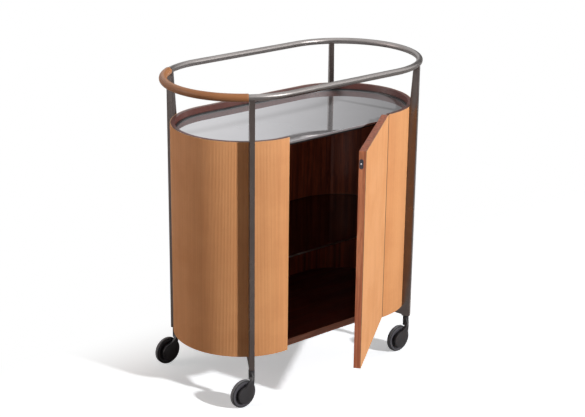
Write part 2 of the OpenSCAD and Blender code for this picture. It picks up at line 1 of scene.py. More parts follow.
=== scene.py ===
"""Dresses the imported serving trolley: leather, walnut, glass, satin metal and castors.

Every length is in metres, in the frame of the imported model: +X along the cabinet, -Y
towards the front, +Z up from the floor.
"""

import logging
import math
from collections.abc import Callable, Iterable, Sequence
from dataclasses import dataclass
from enum import Enum

import bmesh
import bpy
from bmesh.types import BMEdge, BMesh, BMFace, BMVert
from bpy.types import ID, Material, Mesh, Node, NodeTree, Object
from bpy.types import NodeSocket as Socket
from mathutils import Matrix, Vector


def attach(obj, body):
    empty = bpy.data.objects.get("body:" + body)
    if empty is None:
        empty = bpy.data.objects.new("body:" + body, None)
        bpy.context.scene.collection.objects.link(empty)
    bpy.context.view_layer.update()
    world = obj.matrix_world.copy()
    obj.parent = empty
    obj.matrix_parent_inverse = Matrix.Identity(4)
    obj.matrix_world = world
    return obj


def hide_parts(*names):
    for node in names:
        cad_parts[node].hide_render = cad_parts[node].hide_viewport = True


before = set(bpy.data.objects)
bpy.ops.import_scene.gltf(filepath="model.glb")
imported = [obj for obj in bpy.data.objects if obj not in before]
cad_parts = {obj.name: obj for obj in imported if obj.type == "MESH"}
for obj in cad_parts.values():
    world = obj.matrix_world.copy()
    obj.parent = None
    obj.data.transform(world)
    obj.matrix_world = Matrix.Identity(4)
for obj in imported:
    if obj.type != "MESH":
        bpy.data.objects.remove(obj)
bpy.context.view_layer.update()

LOG = logging.getLogger("trolley")
MM = 0.001
UP = Vector((0, 0, 1))
WHITE = (1.0, 1.0, 1.0)
BLACK = (0.0, 0.0, 0.0)
FLAT_ANGLE = math.radians(11)
SAME_PLANE = math.radians(0.6)
CABINET = "cabinet"
DOOR = "door"
CORNERS = ("front_left", "front_right", "rear_left", "rear_right")
Triple = tuple[float, float, float]
Colour = Triple
Point = tuple[float, float]
Ramp = tuple[float, float, float, float]
Spot = tuple[Vector, Vector]
Value = float | Socket
Reshape = Callable[[BMesh], None]
Picker = Callable[[BMFace], bool]
Paint = Colour | Socket
Inputs = dict[str | int, object]


def srgb(code: int) -> Colour:
    """Linear colour of an sRGB colour, which is given as 0xRRGGBB."""
    shares = ((code >> shift & 255) / 255 for shift in (16, 8, 0))
    return tuple(s / 12.92 if s <= 0.04045 else ((s + 0.055) / 1.055) ** 2.4 for s in shares)


# Node trees


class Tree:
    """Short ways to add nodes to a node tree and to join them."""

    def __init__(self, tree: NodeTree) -> None:
        """Starts on a tree, which is emptied."""
        self.tree = tree
        tree.nodes.clear()

    def fill(self, node: Node, inputs: Inputs) -> Node:
        """Sets a node's inputs.

        Args:
            node: The node.
            inputs: Values or output sockets, by input name or number.

        Returns:
            The same node.
        """
        for key, value in inputs.items():
            socket = node.inputs[key]
            if isinstance(value, Socket):
                self.tree.links.new(value, socket)
            else:
                socket.default_value = (*value, 1) if socket.type == "RGBA" else value
        return node

    def add(self, kind: str, inputs: Inputs | None = None, **settings: object) -> Node:
        """Adds a node.

        Args:
            kind: Its type, without ShaderNode.
            inputs: Values or output sockets, by input name or number.
            settings: Its properties.

        Returns:
            The node.
        """
        full = kind if kind.startswith("NodeGroup") else "ShaderNode" + kind
        node = self.tree.nodes.new(full)
        for name, value in settings.items():
            setattr(node, name, value)
        return self.fill(node, inputs or {})

    def math(self, operation: str, *values: Value) -> Socket:
        """Result of a Math node on values or sockets."""
        return self.add("Math", dict(enumerate(values)), operation=operation).outputs[0]

    def plus(self, first: Socket, second: Value) -> Socket:
        """Two values added."""
        return self.math("ADD", first, second)

    def times(self, first: Socket, second: Value) -> Socket:
        """Two values multiplied."""
        return self.math("MULTIPLY", first, second)

    def weighted(self, first: Socket, share: float, second: Socket, other: float) -> Socket:
        """Two values, each times its own share, added."""
        return self.plus(self.times(first, share), self.times(second, other))

    def spread(
        self, value: Socket, low: float, high: float, bottom: float = 0, top: float = 1
    ) -> Socket:
        """A value mapped from one range to another, smoothly and clamped."""
        ends = {"Value": value, "From Min": low, "From Max": high, "To Min": bottom, "To Max": top}
        return self.add("MapRange", ends, interpolation_type="SMOOTHSTEP").outputs[0]

    def blend(self, factor: Socket, first: Paint, second: Paint) -> Socket:
        """Two colours mixed by a factor."""
        return self.add("Mix", {0: factor, 6: first, 7: second}, data_type="RGBA").outputs[2]

    def stretched(self, vector: Socket, scale: Triple) -> Socket:
        """A vector scaled along each axis."""
        return self.add("Mapping", {"Vector": vector, "Scale": scale}).outputs[0]

    def noise(self, vector: Socket, scale: Value, detail: float, rough: float = 0.5) -> Socket:
        """Value of a noise texture."""
        inputs = {"Vector": vector, "Scale": scale, "Detail": detail, "Roughness": rough}
        return self.add("TexNoise", inputs).outputs[0]


class EffectTree(Tree):
    """The node group of an effect that several finishes share."""

    @classmethod
    def get(cls, effect: "Effect") -> NodeTree:
        """The node group of an effect, built on first use.

        Args:
            effect: The method that writes it.

        Returns:
            The group.
        """
        name = effect.__name__
        if name not in bpy.data.node_groups:
            effect(cls(bpy.data.node_groups.new(name, "ShaderNodeTree")))
        return bpy.data.node_groups[name]

    def sockets(
        self, inputs: dict[str, float | Colour], *outputs: str
    ) -> tuple[dict[str, Socket], Node]:
        """Gives the group its sockets.

        Args:
            inputs: Defaults of its inputs after Vector. A tuple is a colour.
            outputs: Names of its outputs. The one named Color is a colour.

        Returns:
            What it is given, by name, and its output node.
        """
        face = self.tree.interface
        face.new_socket("Vector", in_out="INPUT", socket_type="NodeSocketVector")
        for name, value in inputs.items():
            colour = isinstance(value, tuple)
            kind = "NodeSocketColor" if colour else "NodeSocketFloat"
            socket = face.new_socket(name, in_out="INPUT", socket_type=kind)
            socket.default_value = (*value, 1) if colour else value
        for name in outputs:
            kind = "NodeSocketColor" if name == "Color" else "NodeSocketFloat"
            face.new_socket(name, in_out="OUTPUT", socket_type=kind)
        given = {socket.name: socket for socket in self.add("NodeGroupInput").outputs}
        return given, self.add("NodeGroupOutput")

    def leather_pebble(self) -> None:
        """Fine pebbled grain of leather, as a height, and the tone of its creases."""
        given, result = self.sockets({"Scale": 900.0}, "Height", "Tone")
        where = {"Vector": given["Vector"], "Scale": given["Scale"]}
        cells = self.add("TexVoronoi", where, feature="SMOOTH_F1").outputs["Distance"]
        coarse = self.noise(given["Vector"], self.times(given["Scale"], 0.35), 4)
        height = self.weighted(cells, 0.7, coarse, 0.6)
        self.fill(result, {"Height": height, "Tone": self.spread(height, 0.25, 0.85)})

    def vertical_streaks(self) -> None:
        """Vertical streaks, each a few millimetres wide, that run from top to bottom."""
        given, result = self.sockets({"Density": 260.0}, "Mask")
        flat = self.stretched(given["Vector"], (1.0, 1.0, 0.006))
        fine = self.noise(flat, given["Density"], 2)
        broad = self.noise(flat, self.times(given["Density"], 0.08), 2)
        both = self.weighted(fine, 0.65, broad, 0.35)
        self.fill(result, {"Mask": self.spread(both, 0.36, 0.64)})

    def walnut_figure(self) -> None:
        """Straight-grained walnut with figure and open pores, grained along Z."""
        colours = {"Light": (0.2, 0.1, 0.06), "Dark": (0.06, 0.03, 0.02)}
        given, result = self.sockets(colours, "Color", "Height", "Pores")
        vector, light, dark = (given[name] for name in ("Vector", "Light", "Dark"))
        sway = self.times(self.noise(self.stretched(vector, (3.0, 3.0, 0.9)), 1.6, 3, 0.55), 0.05)
        push = self.add("CombineXYZ", {"X": sway, "Y": sway}).outputs[0]
        bent = self.add("VectorMath", {0: vector, 1: push}, operation="ADD").outputs[0]
        bands = self.noise(self.stretched(bent, (90.0, 90.0, 1.4)), 1.0, 5, 0.62)
        fine = self.noise(self.stretched(bent, (620.0, 620.0, 9.0)), 1.0, 2, 0.55)
        tone = self.spread(self.weighted(bands, 0.72, fine, 0.28), 0.34, 0.66)
        cells = self.noise(self.stretched(vector, (1500.0, 1500.0, 60.0)), 1.0, 1, 0.55)
        pores = self.spread(cells, 0.60, 0.70)
        base = self.blend(tone, light, dark)
        colour = self.blend(self.times(pores, 0.45), base, dark)
        height = self.math("SUBTRACT", self.times(tone, 0.3), pores)
        self.fill(result, {"Color": colour, "Height": height, "Pores": pores})

    def fine_brushing(self) -> None:
        """Fine lines left by brushing, along Z."""
        given, result = self.sockets({"Density": 2600.0}, "Height")
        flat = self.stretched(given["Vector"], (1.0, 1.0, 0.02))
        self.fill(result, {"Height": self.noise(flat, given["Density"], 3, 0.7)})

    def handling_marks(self) -> None:
        """Soft patches where hands, cloths and dust have changed the sheen."""
        given, result = self.sockets({"Scale": 14.0}, "Mask", "Dust")
        patches = self.noise(given["Vector"], given["Scale"], 5, 0.6)
        specks = self.noise(given["Vector"], self.times(given["Scale"], 34.0), 4)
        dust = self.spread(specks, 0.52, 0.72)
        self.fill(result, {"Mask": self.spread(patches, 0.35, 0.68), "Dust": dust})


Effect = Callable[[EffectTree], None]


class Coat(Tree):
    """The node tree of a finish, from its object coordinates to its surface shader."""

    def __init__(self, tree: NodeTree) -> None:
        """Starts with a plain surface shader.

        Args:
            tree: The material's tree, which is emptied.
        """
        super().__init__(tree)
        self.shader = self.add("BsdfPrincipled")
        self.add("OutputMaterial", {"Surface": self.shader.outputs[0]})
        self.vector = self.add("TexCoord").outputs["Object"]

    def effect(self, effect: Effect, **inputs: object) -> dict[str, Socket]:
        """Places a shared effect.

        Args:
            effect: The effect.
            inputs: Its inputs. Vector is the object coordinates unless given.

        Returns:
            Its outputs by name.
        """
        group = EffectTree.get(effect)
        node = self.add("Group", {"Vector": self.vector, **inputs}, node_tree=group)
        return {socket.name: socket for socket in node.outputs}

    def turned(self, lay: "Lay") -> Socket:
        """The object coordinates, turned so that a lay runs along Z."""
        return self.add("Mapping", {"Vector": self.vector, "Rotation": lay.value}).outputs[0]

    def varied(self, mask: Socket, colour: Colour, share: float) -> Socket:
        """A colour that a mask takes down to a share of it."""
        return self.blend(mask, colour, tuple(channel * share for channel in colour))

    def surface(self, inputs: Inputs) -> None:
        """Sets inputs of the surface shader."""
        self.fill(self.shader, inputs)

    def relief(self, height: Socket, strength: float, distance: float) -> None:
        """Feeds a height to the surface's normal."""
        bump = self.add("Bump", {"Height": height, "Strength": strength, "Distance": distance})
        self.surface({"Normal": bump.outputs[0]})


# Finishes


class Lay(Enum):
    """Which way grain or brushing runs, as the turn that brings it to Z."""

    UPRIGHT = (0.0, 0.0, 0.0)
    ALONG = (0.0, math.pi / 2, 0.0)


@dataclass(frozen=True)
class Finish:
    """A finish of the trolley, for one of the record's slots, that writes its node tree."""

    name: str
    slot: str

    def material(self) -> Material:
        """The finish's material, built on first use.

        Returns:
            The material.
        """
        made = bpy.data.materials.get(self.name)
        if made is None:
            made = bpy.data.materials.new(self.name)
            made.use_nodes = True
            self.dress(Coat(made.node_tree))
        return made

    def dress(self, coat: Coat) -> None:
        """Writes colour, roughness and relief into the surface shader."""
        raise NotImplementedError


@dataclass(frozen=True)
class Leather(Finish):
    """Smooth saddle leather, dyed, with a low wax sheen."""

    light: Colour
    dark: Colour
    streaks: float = 0.18
    roughness: float = 0.5
    patches: float = 0.18
    creases: float = 0.10
    wear: float = 0.12

    def dress(self, coat: Coat) -> None:
        """Writes dye patches, streaks along the flutes and a fine pebble.

        Args:
            coat: Its node tree.
        """
        pebble = coat.effect(EffectTree.leather_pebble, Scale=1100.0)
        streak = coat.effect(EffectTree.vertical_streaks, Density=420.0)["Mask"]
        marks = coat.effect(EffectTree.handling_marks, Scale=6.0)["Mask"]
        tone = coat.weighted(streak, self.streaks, marks, self.patches)
        dyed = coat.blend(tone, self.light, self.dark)
        colour = coat.blend(coat.times(pebble["Tone"], self.creases), dyed, self.dark)
        rough = coat.spread(marks, 0, 1, self.roughness, self.roughness + self.wear)
        coat.surface({"Base Color": colour, "Roughness": rough, "Specular IOR Level": 0.36})
        coat.relief(pebble["Height"], 0.22, 0.12 * MM)


@dataclass(frozen=True)
class RawEdge(Finish):
    """The cut, undyed edge of the hide, fibrous and pale, and thread like it."""

    colour: Colour
    shade: float = 0.55

    def dress(self, coat: Coat) -> None:
        """Writes loose fibres over a pale core.

        Args:
            coat: Its node tree.
        """
        fibres = coat.noise(coat.vector, 1600.0, 4, 0.7)
        patches = coat.noise(coat.vector, 60.0, 2, 0.55)
        mask = coat.spread(coat.weighted(fibres, 0.5, patches, 0.5), 0.35, 0.7)
        colour = coat.varied(mask, self.colour, self.shade)
        coat.surface({"Base Color": colour, "Roughness": 0.8})
        coat.relief(fibres, 0.5, 0.15 * MM)


@dataclass(frozen=True)
class Walnut(Finish):
    """Oiled walnut veneer and solid edges, with painted shade on the rim band where one is named.
    """

    light: Colour
    dark: Colour
    lay: Lay = Lay.UPRIGHT
    # Painted shade on the rim band: its colour, the heights where it starts and where it is full,
    # and how far it darkens.
    rim_painted_shade: Colour | None = None
    rim_low: float = 720 * MM
    rim_high: float = 728 * MM
    rim_shade_share: float = 0.92
    smooth: float = 0.36
    dull: float = 0.50

    def dress(self, coat: Coat) -> None:
        """Writes figure, pores, a thin oil film and the painted shade on the rim band.

        Args:
            coat: Its node tree.
        """
        look = {"Vector": coat.turned(self.lay), "Light": self.light, "Dark": self.dark}
        wood = coat.effect(EffectTree.walnut_figure, **look)
        marks = coat.effect(EffectTree.handling_marks, Scale=9.0)["Mask"]
        colour = wood["Color"]
        # Painted shade: above rim_low the walnut is darkened towards a shade colour, standing in
        # for the shade on the rim's inner band.
        if self.rim_painted_shade:
            height = coat.add("SeparateXYZ", {0: coat.vector}).outputs[2]
            rim_shade_mask = coat.spread(height, self.rim_low, self.rim_high)
            colour = coat.blend(coat.times(rim_shade_mask, self.rim_shade_share), colour, self.rim_painted_shade)
        film = coat.spread(marks, 0, 1, self.smooth, self.dull)
        rough = coat.plus(film, coat.times(wood["Pores"], 0.2))
        coat.surface({"Base Color": colour, "Roughness": rough})
        coat.relief(wood["Height"], 0.25, 0.08 * MM)


@dataclass(frozen=True)
class SatinMetal(Finish):
    """Brushed and plated metal with a satin lacquer."""

    colour: Colour
    roughness: float = 0.3
    brushing: float = 0.1
    lay: Lay = Lay.UPRIGHT
    tarnish: float = 0.82

    def dress(self, coat: Coat) -> None:
        """Writes brushing lines, and patches that hands have dulled.

        Args:
            coat: Its node tree.
        """
        along = coat.turned(self.lay)
        lines = coat.effect(EffectTree.fine_brushing, Vector=along, Density=2200.0)["Height"]
        marks = coat.effect(EffectTree.handling_marks, Scale=11.0)["Mask"]
        patchy = coat.spread(marks, 0, 1, self.roughness - 0.03, self.roughness + 0.06)
        rough = coat.plus(patchy, coat.times(lines, self.brushing * 0.4))
        colour = coat.varied(marks, self.colour, self.tarnish)
        coat.surface({"Base Color": colour, "Metallic": 1.0, "Roughness": rough})
        coat.relief(lines, self.brushing, 0.05 * MM)


@dataclass(frozen=True)
class MirrorGlass(Finish):
    """Grey mirrored glass, polished, with faint wiping marks."""

    colour: Colour
    silvering: float = 0.62

    def dress(self, coat: Coat) -> None:
        """Writes a grey mirror with a film that varies a little.

        Args:
            coat: Its node tree.
        """
        marks = coat.effect(EffectTree.handling_marks, Scale=7.0)["Mask"]
        colour = coat.varied(marks, self.colour, 0.96)
        rough = coat.spread(marks, 0, 1, 0.015, 0.05)
        coat.surface({"Base Color": colour, "Metallic": self.silvering, "Roughness": rough})


@dataclass(frozen=True)
class SmokedGlass(Finish):
    """Dark, see-through glass, polished or frosted."""

    colour: Colour
    transmission: float = 1.0
    frost: float = 0.0

    def dress(self, coat: Coat) -> None:
        """Writes tinted glass with a trace of dust in its gloss.

        Args:
            coat: Its node tree.
        """
        marks = coat.effect(EffectTree.handling_marks, Scale=9.0)
        colour = coat.varied(marks["Mask"], self.colour, 0.9)
        rough = coat.spread(marks["Dust"], 0, 1, self.frost + 0.02, self.frost + 0.07)
        coat.surface({"Base Color": colour, "Roughness": rough, "IOR": 1.5})
        coat.surface({"Transmission Weight": self.transmission})


@dataclass(frozen=True)
class Moulded(Finish):
    """Moulded plastic or rubber, matt, with a fine spark-eroded texture."""

    colour: Colour
    roughness: float = 0.5
    texture: float = 0.25

    def dress(self, coat: Coat) -> None:
        """Writes a fine texture, dust in its hollows and scuffs.

        Args:
            coat: Its node tree.
        """
        skin = coat.noise(coat.vector, 3200.0, 2, 0.55)
        marks = coat.effect(EffectTree.handling_marks, Scale=30.0)
        dusty = tuple(min(1.0, channel * 1.5 + 0.012) for channel in self.colour)
        colour = coat.blend(coat.times(marks["Dust"], 0.35), self.colour, dusty)
        rough = coat.spread(marks["Mask"], 0, 1, self.roughness - 0.05, self.roughness + 0.1)
        coat.surface({"Base Color": colour, "Roughness": rough})
        coat.relief(skin, self.texture, 0.06 * MM)


SADDLE = Leather("saddle_leather_fluted", "saddle_leather", srgb(0xEAAB74), srgb(0xBA713F))
GRIP = Leather("saddle_leather_grip", "grip_leather", srgb(0xAC744A), srgb(0x825030), 0.0, 0.4)
RAW_EDGE = RawEdge("leather_raw_edge", "saddle_leather", srgb(0xCEA884))
THREAD = RawEdge("waxed_thread", "grip_leather", srgb(0xDEC4A0))
# The shell's rim band above the mirror gets painted shade, a darker walnut.
WALNUT_SHELL = Walnut(
    "walnut_shell", "walnut", srgb(0xAA583A), srgb(0x662E1E), rim_painted_shade=srgb(0x46201B)
)
WALNUT_BODY = Walnut("walnut_upright", "walnut", srgb(0xBC6E4C), srgb(0x763A28))
WALNUT_EDGE = Walnut("walnut_edge", "walnut", srgb(0xE8966A), srgb(0xB05E40))
# Painted light: a much lighter walnut on the bottom board's front edge, which lies in the door's
# shadow.
WALNUT_PAINTED_LIT_EDGE = Walnut("walnut_painted_lit_edge", "walnut", srgb(0xECA886), srgb(0xBC765A), Lay.ALONG)
WALNUT_FLOOR = Walnut("walnut_along", "walnut", srgb(0x703628), srgb(0x482018), Lay.ALONG)
GUNMETAL_POST = SatinMetal("gunmetal_upright", "gunmetal", srgb(0x706764), 0.28)
GUNMETAL_RAIL = SatinMetal("gunmetal_rail", "gunmetal", srgb(0x888381), 0.38, 0.004, Lay.ALONG)
BLACK_FRAME = Moulded("black_lacquer_frame", "black_frame", srgb(0x1A191A), 0.35, 0.05)
MIRROR = MirrorGlass("grey_mirror_glass", "mirror_glass", srgb(0xC4C4C8))
SMOKED = SmokedGlass("smoked_shelf_glass", "smoked_glass", srgb(0x8A8280))
GROUND_EDGE = SmokedGlass("ground_shelf_edge", "smoked_glass", srgb(0x706460), 0.7, 0.3)
SCREW_STEEL = SatinMetal("blackened_screw_steel", "screw_steel", srgb(0x5C5A5A), 0.34)
BRIGHT_STEEL = SatinMetal("bright_steel", "screw_steel", srgb(0xC4C5C8), 0.16, 0.04)
BRONZE = SatinMetal("hinge_bronze", "hinge_bronze", srgb(0x845C3E), 0.32)
CATCH_METAL = SatinMetal("blued_catch_plate", "catch_metal", srgb(0x545660), 0.36)
ARM_PLASTIC = Moulded("charcoal_arm", "castor_plastic", srgb(0x211F22), 0.46)
WHEEL_PLASTIC = Moulded("charcoal_wheel", "wheel_plastic", srgb(0x4C4A50), 0.42)
TYRE_RUBBER = Moulded("black_tyre", "tyre_rubber", srgb(0x1A1A1C), 0.6, 0.3)
# Painted reflection: a light grey tread that stands in for the bright band that the rubber tread
# reflects.
TREAD_PAINTED_SHEEN = Moulded("tread_painted_sheen", "tyre_rubber", srgb(0x84858A), 0.7, 0.3)


# Meshes


def added(name: str, data: ID) -> Object:
    """Puts a new object in the scene.

    Args:
        name: Its name.
        data: Its mesh, light or camera.

    Returns:
        The object.
    """
    made = bpy.data.objects.new(name, data)
    bpy.context.scene.collection.objects.link(made)
    return made


def baked(mesh: BMesh, name: str) -> Mesh:
    """The mesh data of a finished mesh, which is freed.

    Args:
        mesh: The mesh.
        name: The data's name.

    Returns:
        The mesh data.
    """
    data = bpy.data.meshes.new(name)
    mesh.to_mesh(data)
    mesh.free()
    return data


def pick(geometry: Iterable[object], kind: type) -> list:
    """Those of an operator's results that are of one kind."""
    return [item for item in geometry if isinstance(item, kind)]


def flatten(mesh: BMesh) -> None:
    """Merges faces that lie in one plane."""
    verts, edges = mesh.verts[:], mesh.edges[:]
    bmesh.ops.dissolve_limit(mesh, angle_limit=SAME_PLANE, verts=verts, edges=edges)


def weld(mesh: BMesh, gap: float) -> None:
    """Merges points that are no further apart than a gap, and turns faces outwards."""
    bmesh.ops.remove_doubles(mesh, verts=mesh.verts[:], dist=gap)
    bmesh.ops.recalc_face_normals(mesh, faces=mesh.faces[:])


def sharp_edges(mesh: BMesh, angle: float) -> list[BMEdge]:
    """Edges of a mesh that turn by more than an angle in degrees."""
    least = math.radians(angle)
    return [edge for edge in mesh.edges if edge.is_manifold and edge.calc_face_angle(0) > least]


def ease(mesh: BMesh, edges: Sequence[BMEdge], width: float, segments: int = 2) -> None:
    """Rounds edges of a mesh.

    Args:
        mesh: The mesh.
        edges: The edges.
        width: Width of the rounding on each side.
        segments: Steps across it.
    """
    look = {"segments": segments, "profile": 0.5, "material": -1, "clamp_overlap": True}
    bmesh.ops.bevel(mesh, geom=edges, offset=width, affect="EDGES", **look)


def shells(mesh: BMesh) -> list[list[BMFace]]:
    """The separate shells of a mesh.

    Args:
        mesh: The mesh.

    Returns:
        The faces of each shell.
    """
    left = dict.fromkeys(mesh.faces)
    found = []
    while left:
        shell = [left.popitem()[0]]
        for face in shell:
            for near in (other for edge in face.edges for other in edge.link_faces):
                if near in left:
                    del left[near]
                    shell.append(near)
        found.append(shell)
    return found


def revolved(profile: Sequence[Point], steps: int, place: Matrix) -> BMesh:
    """Spins a closed profile round the local Z axis.

    Args:
        profile: Radius and height of each point, in order round the section.
        steps: Number of steps round the axis.
        place: Where the result goes.

    Returns:
        The closed mesh.
    """
    mesh = bmesh.new()
    points = [mesh.verts.new((radius, 0, height)) for radius, height in profile]
    edges = [mesh.edges.new(pair) for pair in zip(points, points[1:] + points[:1])]
    on_axis = [edge for edge in edges if all(vert.co.x < 1e-9 for vert in edge.verts)]
    bmesh.ops.delete(mesh, geom=on_axis, context="EDGES_FACES")
    section = mesh.verts[:] + mesh.edges[:]
    way = {"axis": UP, "angle": math.tau, "use_merge": True}
    bmesh.ops.spin(mesh, geom=section, steps=steps, **way)
    weld(mesh, 1e-7)
    mesh.transform(place)
    return mesh


def both_sides(side: Sequence[Point]) -> list[Point]:
    """A half section and its mirror image, as one closed section."""
    return [*side, *((radius, -height) for radius, height in reversed(side))]


def joined(parts: Iterable[BMesh]) -> BMesh:
    """Joins several meshes.

    Args:
        parts: The meshes, which are freed.

    Returns:
        One mesh of them all.
    """
    whole = bmesh.new()
    for part in parts:
        data = baked(part, "part")
        whole.from_mesh(data)
        bpy.data.meshes.remove(data)
    return whole


def softened(
    node: str, width: float, segments: int = 2, angle: float = 30.0, shape: Reshape | None = None
) -> BMesh:
    """A merged copy of a CAD node with its sharp edges eased.

    Args:
        node: The CAD node.
        width: Width of the easing.
        segments: Steps across it.
        angle: Turn in degrees over which an edge is sharp.
        shape: Changes the copy before that.

    Returns:
        The copy.
    """
    mesh = bmesh.new()
    mesh.from_mesh(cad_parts[node].data)
    bmesh.ops.remove_doubles(mesh, verts=mesh.verts[:], dist=2e-6)
    flatten(mesh)
    if shape:
        shape(mesh)
    ease(mesh, sharp_edges(mesh, angle), width, segments)
    return mesh


@dataclass(frozen=True)
class DriveSocket:
    """The lobed socket in a screw's head, in shares of the head's radius."""

    chamfer: float = 0.12 * MM
    head_sides: int = 12
    wall: float = 0.52
    swell: float = 0.16
    depth: float = 0.45
    lobes: int = 6

    def sink(self, mesh: BMesh, head: BMFace) -> None:
        """Sinks the socket into a screw's head.

        Args:
            mesh: The screw's mesh.
            head: The flat face of its head.
        """
        radius = math.sqrt(head.calc_area() / math.pi)
        wall = radius * self.wall
        bmesh.ops.inset_individual(mesh, faces=[head], thickness=wall, use_even_offset=True)
        centre, normal = head.calc_center_median(), head.normal.copy()
        side = normal.orthogonal().normalized()
        for vert in head.verts:
            way = vert.co - centre
            turn = math.atan2(way.dot(normal.cross(side)), way.dot(side))
            vert.co = centre + way * (1 + self.swell * math.cos(self.lobes * turn))
        sunk = pick(bmesh.ops.extrude_face_region(mesh, geom=[head])["geom"], BMVert)
        bmesh.ops.translate(mesh, vec=normal * -self.depth * radius, verts=sunk)
        bmesh.ops.delete(mesh, geom=[head], context="FACES_ONLY")


DRIVE = DriveSocket()


class Assembly:
    """A sub-assembly, which makes named pieces that ride on the frame."""

    def build(self) -> None:
        """Makes and dresses its pieces."""
        raise NotImplementedError

    def place(
        self, name: str, mesh: BMesh, finishes: Sequence[Finish],
        replaces: str = "", body: str = CABINET, crease: float = 32.0,
    ) -> None:
        """Makes a piece of a finished mesh.

        Args:
            name: The piece's name.
            mesh: Its mesh, in place. It is freed.
            finishes: Its finishes, by material number.
            replaces: The CAD node that it stands for.
            body: The body that it rides on.
            crease: Turn in degrees over which an edge is sharp.
        """
        mesh.normal_update()
        curved = [
            any(edge.is_manifold and edge.calc_face_angle(0) < FLAT_ANGLE for edge in face.edges)
            for face in mesh.faces
        ]
        data = baked(mesh, name)
        data.set_sharp_from_angle(angle=math.radians(crease))
        data.polygons.foreach_set("use_smooth", curved)
        for finish in finishes:
            data.materials.append(finish.material())
        piece = added(name, data)
        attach(piece, body)
        if replaces:
            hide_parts(replaces)
        LOG.info("%s: %d faces on %s", name, len(data.polygons), body)

    @staticmethod
    def dress_nodes(finish: Finish, *nodes: str) -> None:
        """Gives CAD nodes that keep their shape their finish.

        Args:
            finish: The finish.
            nodes: The CAD nodes.
        """
        for node in nodes:
            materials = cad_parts[node].data.materials
            materials.clear()
            materials.append(finish.material())
            LOG.info("%s: packed node, %s", node, finish.name)

    def eased(
        self, name: str, node: str, width: float, finishes: Sequence[Finish],
        body: str = CABINET, second: Picker | None = None, segments: int = 2,
    ) -> None:
        """Makes a piece of a CAD node, with its sharp edges eased.

        Args:
            name: The piece's name.
            node: The CAD node, which it stands for.
            width: Width of the easing.
            finishes: One finish, or two.
            body: The body that it rides on.
            second: Picks the faces that get the second finish.
            segments: Steps across the easing.
        """
        mesh = softened(node, width, segments)
        mesh.normal_update()
        for face in mesh.faces if second else ():
            face.material_index = int(second(face))
        self.place(name, mesh, finishes, node, body)

    def screws(self, node: str, finish: Finish, body: str = CABINET) -> None:
        """Makes a piece of screws, whose heads get a drive socket.

        Args:
            node: The CAD node with the screws.
            finish: Their finish.
            body: The body that they ride on.
        """
        mesh = softened(node, DRIVE.chamfer, 1, 60.0)
        flatten(mesh)
        for shell in shells(mesh):
            discs = [face for face in shell if len(face.verts) >= DRIVE.head_sides]
            DRIVE.sink(mesh, max(discs, key=lambda face: face.calc_area()))
        self.place("driven_" + node, mesh, [finish], node, body)


# Sub-assemblies


@dataclass
class Plan:
    """The stadium plan that the cabinet and the handrail share."""

    half: float = 185 * MM
    leather_r: float = 196 * MM
    doorway: float = 179.1 * MM
    low: float = 136 * MM
    high: float = 748 * MM

    def front_point(self, along: float) -> Spot:
        """A point on the flat front, and the outward direction there."""
        return Vector((along, -self.leather_r, 0)), Vector((0, -1, 0))

    def round_end(self, side: int, along: float) -> Spot:
        """A point on a round end.

        Args:
            side: 1 for the right end, -1 for the left one.
            along: Distance along the end, anticlockwise.

        Returns:
            The point and the outward direction there.
        """
        angle = along / self.leather_r - side * math.pi / 2
        out = Vector((math.cos(angle), math.sin(angle), 0))
        return Vector((side * self.half, 0, 0)) + out * self.leather_r, out

    def wall_point(self, along: float) -> Spot:
        """A point on the outer wall.

        Args:
            along: Distance from the doorway's right edge, round the back.

        Returns:
            The point and the outward direction there.
        """
        strip, arc, side = self.half - self.doorway, math.pi * self.leather_r, 2 * self.half
        if along <= strip:
            return self.front_point(self.doorway + along)
        along -= strip
        if along <= arc:
            return self.round_end(1, along)
        along -= arc
        if along <= side:
            return Vector((self.half - along, self.leather_r, 0)), Vector((0, 1, 0))
        along -= side
        if along <= arc:
            return self.round_end(-1, along)
        return self.front_point(along - arc - self.half)

    def wall_length(self) -> float:
        """Length of the outer wall from one side of the doorway to the other."""
        return math.tau * self.leather_r + 4 * self.half - 2 * self.doorway


PLAN = Plan()


